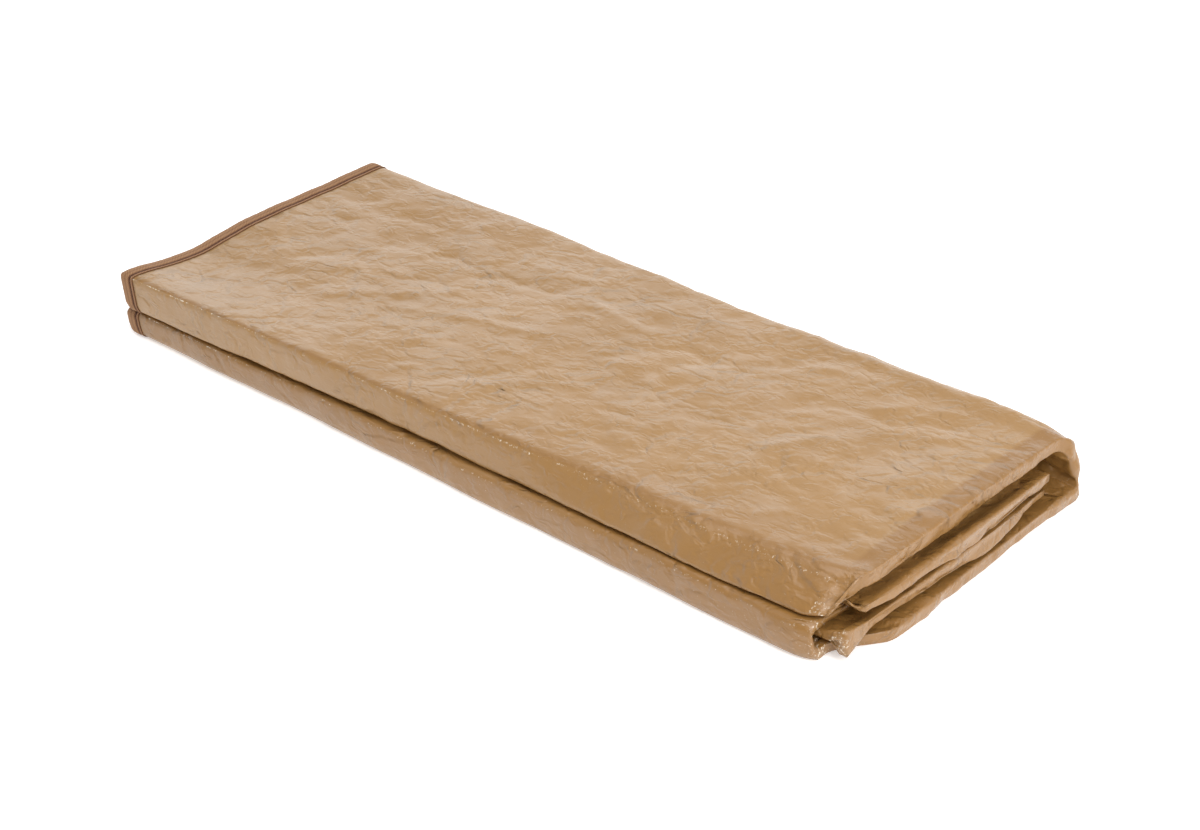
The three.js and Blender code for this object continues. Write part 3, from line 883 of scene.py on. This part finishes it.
# %% [markdown]
# One row of stitches runs in the binding's groove, on both faces. A single stitch is a short thread
# that dips into the tape at both ends. It is made once, and the row is many copies of it in one mesh.

# %% One stitch
STITCH_LENGTH, STITCH_PITCH, THREAD = 2.7, 4.0, 0.55


def make_stitch():
    bm = bmesh.new()
    bmesh.ops.create_cone(bm, cap_ends=True, segments=6, radius1=0.5, radius2=0.5, depth=1)
    rims = [edge for edge in bm.edges if abs(edge.verts[0].co.z - edge.verts[1].co.z) > 0.5]
    bmesh.ops.subdivide_edges(bm, edges=rims, cuts=2)
    for vert in bm.verts:
        along = vert.co.z
        thin = 1 - 0.5 * (2 * abs(along)) ** 3
        vert.co = (along, vert.co.x * thin, vert.co.y * thin - 0.5 * (2 * along) ** 2)
    bmesh.ops.recalc_face_normals(bm, faces=bm.faces)
    return bm


stitch = make_stitch()
print("a stitch has", len(stitch.verts), "corners")

# %% The rows of stitches
SEAM_RISE, SEAM_AHEAD = 0.66, 0.8


def points_at(at, run, points):
    return np.stack([np.interp(at, run, points[:, i]) for i in range(3)], axis=1)


def seam_places():
    """Points and directions of the stitches along the bound ends, on both faces of the tape."""
    bound = [WAY[WAY[:, 1] == 0], WAY[WAY[:, 1] == LENGTH_END]]
    places = []
    for edge in bound:
        for face in (1, -1):
            rise = np.full(len(edge), face * SEAM_RISE)
            line = over_edge(edge, np.full(len(edge), float(SEAM_INWARD)), rise)
            fold = edge[:, 0] + edge[:, 2] * SEAM_INWARD / TUCK_WIDTH
            length = edge[:, 1] + edge[:, 3] * SEAM_INWARD / PLY_LENGTH
            up = normals_of(packet_at, fold, length) * face
            run = run_of(line)
            at = np.arange(STITCH_PITCH / 2, run[-1], STITCH_PITCH)
            middle = points_at(at, run, line)
            ahead = points_at(at + SEAM_AHEAD, run, line)
            places.append((middle, ahead - middle, points_at(at, run, up)))
    return [np.concatenate(part) for part in zip(*places)]


middle, ahead, up = seam_places()
ahead = unit(ahead)
up = unit(up - (up * ahead).sum(axis=1, keepdims=True) * ahead)
aside = np.cross(up, ahead)
rows = bmesh.new()
template = bpy.data.meshes.new("one stitch")
stitch.to_mesh(template)
stitch.free()
one = read_points(template)
for _ in range(len(middle)):
    rows.from_mesh(template)
stitches = new_piece("stitches", rows)
copies = np.tile(one, (len(middle), 1))
turn = [np.repeat(vectors, len(one), axis=0) for vectors in (middle, ahead, aside, up)]
sewn = turn[0] + turn[1] * copies[:, :1] * STITCH_LENGTH + turn[2] * copies[:, 1:2] * THREAD
sewn += turn[3] * copies[:, 2:] * THREAD
write_points(stitches.data, sewn * MM)
bpy.data.meshes.remove(template)
print(len(middle), "stitches")

# %% [markdown]
# Three finishes. The cloth is a woven sheet under a clear satin coating: facets that face the camera
# show its ochre, and facets that lie flat mirror the pale room. The tape is matt twill, and the
# thread is a little darker than the tape.

# %% Helpers for nodes, and the flecks that cloth and tape share


def feed(tree, node, links):
    """Feeds inputs of a node; a source is a socket, or a value that the input then holds."""
    for name, source in links:
        if isinstance(source, bpy.types.NodeSocket):
            tree.links.new(source, node.inputs[name])
        else:
            node.inputs[name].default_value = source


def add_node(tree, kind, links=(), **settings):
    node = tree.nodes.new("ShaderNode" + kind)
    for name, value in settings.items():
        setattr(node, name, value)
    feed(tree, node, links)
    return node


def calc(tree, operation, one, other):
    return add_node(tree, "Math", [(0, one), (1, other)], operation=operation).outputs[0]


def vector_calc(tree, operation, *inputs):
    return add_node(tree, "VectorMath", enumerate(inputs), operation=operation).outputs["Vector"]


def remap(tree, value, low, high, to=(0, 1), **settings):
    """A value between low and high, brought between the two values of to."""
    links = [("Value", value), ("From Min", low), ("From Max", high)]
    links += [("To Min", to[0]), ("To Max", to[1])]
    return add_node(tree, "MapRange", links, **settings).outputs["Result"]


def noise_at(tree, vector, scale, detail=2, roughness=0.5, output="Fac"):
    links = [("Vector", vector), ("Scale", scale), ("Detail", detail), ("Roughness", roughness)]
    return add_node(tree, "TexNoise", links).outputs[output]


def mix_colour(tree, factor, one, other):
    links = [(0, factor), (6, one), (7, other)]
    return add_node(tree, "Mix", links, data_type="RGBA").outputs[2]


def add_bump(tree, height, depth, strength, normal=None):
    """The normals of a surface with bumps as deep as depth, in millimetres."""
    links = [("Height", height), ("Distance", depth * MM), ("Strength", strength)]
    if normal is not None:
        links.append(("Normal", normal))
    return add_node(tree, "Bump", links).outputs["Normal"]


def attribute(tree, name):
    return add_node(tree, "Attribute", attribute_name=name).outputs["Fac"]


def start_material(name):
    material = bpy.data.materials.new(name)
    material.use_nodes = True
    tree = material.node_tree
    return material, tree, tree.nodes["Principled BSDF"]


FLECK_LEVEL, FLECK_EDGE = 0.82, 0.12


def fleck_group():
    """Small irregular flecks: where the noise passes an edge that Amount moves."""
    group = bpy.data.node_groups.new("flecks", "ShaderNodeTree")
    for name, kind in (("Vector", "Vector"), ("Scale", "Float"), ("Amount", "Float")):
        group.interface.new_socket(name, in_out="INPUT", socket_type="NodeSocket" + kind)
    group.interface.new_socket("Mask", in_out="OUTPUT", socket_type="NodeSocketFloat")
    given, result = group.nodes.new("NodeGroupInput"), group.nodes.new("NodeGroupOutput")
    fine = noise_at(group, given.outputs["Vector"], given.outputs["Scale"], 3, 0.7)
    low = calc(group, "SUBTRACT", FLECK_LEVEL, given.outputs["Amount"])
    high = calc(group, "ADD", low, FLECK_EDGE)
    group.links.new(remap(group, fine, low, high), result.inputs["Mask"])
    return group


FLECKS = fleck_group()


def flecks(tree, vector, scale, amount):
    links = [("Vector", vector), ("Scale", scale), ("Amount", amount)]
    return add_node(tree, "Group", links, node_tree=FLECKS).outputs["Mask"]

# %% The coated cloth
OCHRE = (0.360, 0.203, 0.074, 1)
DEEP_OCHRE = (0.310, 0.168, 0.054, 1)
# The darker ochre that paints shade in over the bends, the fronts and the hollows
SHADED_OCHRE = (0.250, 0.118, 0.026, 1)
# The pale of wear and scuffs, also used for painted glints on the corner and rims
PALE_WEAR_AND_GLINT = (0.90, 0.84, 0.70, 1)
PAINTED_SHADE_SHARE = 0.8

# Flecks: how many a metre, how much of the cloth they cover, and how pale they make it
SCUFFS = dict(scale=520, cover=0.16, pale=0.22)
WEAR_AND_GLINT_FLECKS = dict(scale=430, cover=0.37)

# Networks of fine crease lines: how many cells a metre, how wide a line is in parts of a cell, and
# how deep it presses, in millimetres
CREASE_LINES = (
    dict(cells=24, wide=0.14, depth=1.4, at=(0.3, 0.1, 0.0)),
    dict(cells=52, wide=0.18, depth=0.8, at=(0.7, 0.4, 0.2)),
    dict(cells=115, wide=0.24, depth=0.4, at=(0.2, 0.8, 0.5)),
)

# Small facets, each tilted its own way: how many a metre and how far they tilt, in radians
TILTS = (
    dict(cells=20, tilt=0.15),
    dict(cells=45, tilt=0.10),
    dict(cells=100, tilt=0.05),
)
STRAY = 0.03
RIPPLE_DEPTH, WEAVE_DEPTH, YARNS = 0.35, 0.05, 260
GLOSS = (0.30, 0.44)


def facet_tilt(tree, vector, row):
    """A small random lean, one for each cell, softly joined to the next."""
    cells = add_node(tree, "TexVoronoi", [
        ("Vector", vector), ("Scale", row["cells"]), ("Smoothness", 0.25)], feature="SMOOTH_F1")
    tilt = row["tilt"]
    return vector_calc(tree, "MULTIPLY_ADD", cells.outputs["Color"], (tilt,) * 3, (-tilt / 2,) * 3)


def crease_lines(tree, vector, row):
    """Heights of a network of lines, that come and go with a broad noise."""
    moved = vector_calc(tree, "ADD", vector, row["at"])
    cells = add_node(tree, "TexVoronoi", [
        ("Vector", moved), ("Scale", row["cells"])], feature="DISTANCE_TO_EDGE")
    flank = remap(
        tree, cells.outputs["Distance"], 0, row["wide"], interpolation_type="SMOOTHSTEP")
    present = remap(tree, noise_at(tree, moved, row["cells"] * 0.8, 1), 0.42, 0.62)
    return calc(tree, "MULTIPLY", flank, present)


def cloth_colour(tree, place, broad):
    wear_and_glints, painted_shade = attribute(tree, "wear_and_glints"), attribute(tree, "painted_shade")
    ground = mix_colour(tree, broad, OCHRE, DEEP_OCHRE)
    # Painted shade over the bends, the fronts and the hollows
    ground = mix_colour(tree, calc(tree, "MULTIPLY", painted_shade, PAINTED_SHADE_SHARE), ground, SHADED_OCHRE)
    scuffs = flecks(tree, place, SCUFFS["scale"], SCUFFS["cover"])
    ground = mix_colour(tree, calc(tree, "MULTIPLY", scuffs, SCUFFS["pale"]), ground, PALE_WEAR_AND_GLINT)
    # Pale flecks: wear on the crests, and painted glints on the corner and the upper rim
    cover = calc(tree, "MULTIPLY", wear_and_glints, WEAR_AND_GLINT_FLECKS["cover"])
    sparkle = flecks(tree, place, WEAR_AND_GLINT_FLECKS["scale"], cover)
    return mix_colour(tree, calc(tree, "MULTIPLY", sparkle, wear_and_glints), ground, PALE_WEAR_AND_GLINT)


def cloth_normal(tree, place):
    """Fine creases, ripples and the weave as bumps, and over them the tilted facets."""
    flat = add_node(tree, "UVMap", uv_map="flat").outputs["UV"]
    turned = add_node(tree, "Mapping", [
        ("Vector", place), ("Rotation", (0, 0, -ASLANT)), ("Scale", (0.72, 1, 1))]).outputs["Vector"]
    stray = noise_at(tree, turned, 30, 3, 0.6, "Color")
    strayed = vector_calc(tree, "MULTIPLY_ADD", stray, (STRAY,) * 3, turned)
    normal = None
    for row in CREASE_LINES:
        normal = add_bump(tree, crease_lines(tree, strayed, row), row["depth"], 1, normal)
    ripple = noise_at(tree, turned, 150, 4, 0.65)
    warp, weft = (
        add_node(tree, "TexWave", [("Vector", flat), ("Scale", YARNS)], bands_direction=way)
        for way in ("X", "Y"))
    weave = calc(tree, "MAXIMUM", warp.outputs["Fac"], weft.outputs["Fac"])
    normal = add_bump(tree, ripple, RIPPLE_DEPTH, 0.8, normal)
    normal = add_bump(tree, weave, WEAVE_DEPTH, 0.7, normal)
    for row in TILTS:
        normal = vector_calc(tree, "ADD", normal, facet_tilt(tree, strayed, row))
    return vector_calc(tree, "NORMALIZE", normal)


def make_cloth():
    material, tree, shader = start_material("coated cloth")
    place = add_node(tree, "TexCoord").outputs["Object"]
    broad = noise_at(tree, place, 14, 4, 0.6)
    feed(tree, shader, [
        ("Base Color", cloth_colour(tree, place, broad)),
        ("Roughness", remap(tree, broad, 0, 1, GLOSS)),
        ("IOR", 1.5),
        ("Coat Weight", 0.35),
        ("Coat Roughness", 0.2),
        ("Normal", cloth_normal(tree, place)),
    ])
    return material


sheet_piece.data.materials.append(make_cloth())

# %% The tape and its thread
TAPE_BROWN = (0.215, 0.105, 0.048, 1)
TAPE_PALE = (0.40, 0.225, 0.115, 1)
TAPE_DARK = (0.070, 0.022, 0.009, 1)
THREAD_BROWN = (0.20, 0.10, 0.055, 1)
TAPE_SPOTS = dict(scale=700, cover=0.2, dark=0.35)
TWILL_SLANT, TWILL_DEPTH = math.radians(35), 0.12


def make_tape():
    material, tree, shader = start_material("binding tape")
    flat = add_node(tree, "UVMap", uv_map="flat").outputs["UV"]
    place = add_node(tree, "TexCoord").outputs["Object"]
    slanted = add_node(tree, "Mapping", [("Vector", flat), ("Rotation", (0, 0, TWILL_SLANT))])
    twill = add_node(tree, "TexWave", [
        ("Vector", slanted.outputs["Vector"]), ("Scale", 240), ("Distortion", 1.2),
        ("Detail", 2)]).outputs["Fac"]
    yarn = mix_colour(tree, twill, TAPE_BROWN, TAPE_PALE)
    spots = flecks(tree, place, TAPE_SPOTS["scale"], TAPE_SPOTS["cover"])
    yarn = mix_colour(tree, calc(tree, "MULTIPLY", spots, TAPE_SPOTS["dark"]), yarn, TAPE_DARK)
    feed(tree, shader, [
        # Painted shade: the tape turns dark brown in its groove and along its edges
        ("Base Color", mix_colour(tree, attribute(tree, "dark"), yarn, TAPE_DARK)),
        ("Roughness", 0.72),
        ("Specular IOR Level", 0.25),
        ("Normal", add_bump(tree, twill, TWILL_DEPTH, 0.8)),
    ])
    return material


def make_thread():
    material, tree, shader = start_material("thread")
    place = add_node(tree, "TexCoord").outputs["Object"]
    tone = mix_colour(tree, noise_at(tree, place, 900), THREAD_BROWN, TAPE_DARK)
    feed(tree, shader, [("Base Color", tone), ("Roughness", 0.6)])
    return material


binding.data.materials.append(make_tape())
stitches.data.materials.append(make_thread())

# %% [markdown]
# Each piece rides on the packet's one body, and the solids that the pieces stand in for are hidden.

# %% Hang each piece on the body, and hide the solids
SLOTS = (
    (sheet_piece, "coated_cloth"),
    (binding, "binding_tape"),
    (stitches, "binding_tape"),
)
for piece, slot in SLOTS:
    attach(piece, "root")
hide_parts("folded_sheet")
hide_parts("edge_binding")

# %% [markdown]
# A plain studio: a white table that glows a little, and a sky that is bright behind the packet, dimmer
# overhead and dark in front. Facets that lie flat mirror the bright back and look pale. Those that
# lean forward mirror the dark front, and show the cloth's own ochre.

# %% The floor, the sky and the light
FLOOR_SIZE = 12
FLOOR_DROP = 0.3 * MM
TABLE_GLOW = 0.4


def make_floor():
    bm = bmesh.new()
    bmesh.ops.create_grid(bm, x_segments=1, y_segments=1, size=FLOOR_SIZE / 2)
    bmesh.ops.translate(bm, verts=bm.verts, vec=(0, 0, -FLOOR_DROP))
    floor = new_piece("floor", bm)
    material, tree, shader = start_material("white floor")
    feed(tree, shader, [
        ("Base Color", (0.93, 0.93, 0.93, 1)),
        ("Roughness", 0.9),
        ("Specular IOR Level", 0.1),
        ("Emission Color", (1, 1, 1, 1)),
        ("Emission Strength", TABLE_GLOW),
    ])
    floor.data.materials.append(material)
    return floor


make_floor()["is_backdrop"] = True

# Level by height at the back and in front, and the way to the bright back
SKY_BACK = ((0.0, 1.0), (0.42, 1.0), (0.62, 0.35), (1.0, 0.3))
SKY_FRONT = ((0.0, 0.1), (0.3, 0.12), (0.6, 0.2), (1.0, 0.3))
BRIGHT_WAY = (-0.66, 0.75, 0)
SKY_STRENGTH = 1.6


def sky_ramp(tree, height, levels):
    ramp = add_node(tree, "ValToRGB", [("Fac", height)])
    elements = ramp.color_ramp.elements
    elements[0].position, elements[1].position = levels[0][0], levels[-1][0]
    for position, _ in levels[1:-1]:
        elements.new(position)
    for element, (_, level) in zip(elements, levels):
        element.color = (level, level, level, 1)
    return ramp.outputs["Color"]


def make_sky():
    world = bpy.data.worlds.new("studio")
    world.use_nodes = True
    bpy.context.scene.world = world
    tree = world.node_tree
    place = add_node(tree, "TexCoord").outputs["Generated"]
    split = add_node(tree, "SeparateXYZ", [("Vector", place)])
    toward = add_node(tree, "VectorMath", [(0, place), (1, BRIGHT_WAY)], operation="DOT_PRODUCT")
    side = remap(tree, toward.outputs["Value"], -0.6, 0.6, interpolation_type="SMOOTHSTEP")
    ramps = [sky_ramp(tree, split.outputs["Z"], levels) for levels in (SKY_FRONT, SKY_BACK)]
    both = mix_colour(tree, side, *ramps)
    feed(tree, tree.nodes["Background"], [("Color", both), ("Strength", SKY_STRENGTH)])


def add_area(name, place, aim, size, power):
    light = bpy.data.lights.new(name, "AREA")
    light.shape = "RECTANGLE"
    light.size, light.size_y = size
    light.energy = power
    lamp = bpy.data.objects.new(name, light)
    lamp.location = place
    lamp.rotation_euler = (Vector(aim) - Vector(place)).to_track_quat("-Z", "Y").to_euler()
    bpy.context.scene.collection.objects.link(lamp)


make_sky()
add_area("key softbox", (2.3, -0.7, 1.5), (0, 0, 0.05), (1.8, 1.4), 51)
add_area("overhead softbox", (0.3, -0.2, 2.6), (0, 0, 0), (2.2, 2.2), 38)
bpy.context.scene.view_settings.view_transform = "Standard"

# %% [markdown]
# The camera stands where the photograph was taken from: in front and to the right, looking down
# by about thirty degrees, with a long lens from two metres away.

# %% The camera
AZIMUTH, ELEVATION = math.radians(40.97), math.radians(29.46)
DISTANCE = 2.029
AIM = (Vector((52.7, -29.1, 30)) + Vector(SHIFT)) * MM
LENS, SENSOR = 76.2, 36

back = Vector((
    math.sin(AZIMUTH) * math.cos(ELEVATION),
    -math.cos(AZIMUTH) * math.cos(ELEVATION),
    math.sin(ELEVATION),
))
lens = bpy.data.cameras.new("camera")
lens.lens, lens.sensor_width, lens.sensor_fit = LENS, SENSOR, "HORIZONTAL"
lens.clip_start, lens.clip_end = 0.05, 40
camera = bpy.data.objects.new("camera", lens)
camera.location = AIM + back * DISTANCE
camera.rotation_euler = back.to_track_quat("Z", "Y").to_euler()
bpy.context.scene.collection.objects.link(camera)
bpy.context.scene.camera = camera
print("camera at", [round(v, 3) for v in camera.location])

# %% Compare the sizes and finish
VISUAL_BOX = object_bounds()
for label, (low, high) in (("CAD", CAD_BOX), ("visual", VISUAL_BOX)):
    print(label, "box in mm:", [round((high[i] - low[i]) / MM, 1) for i in range(3)])
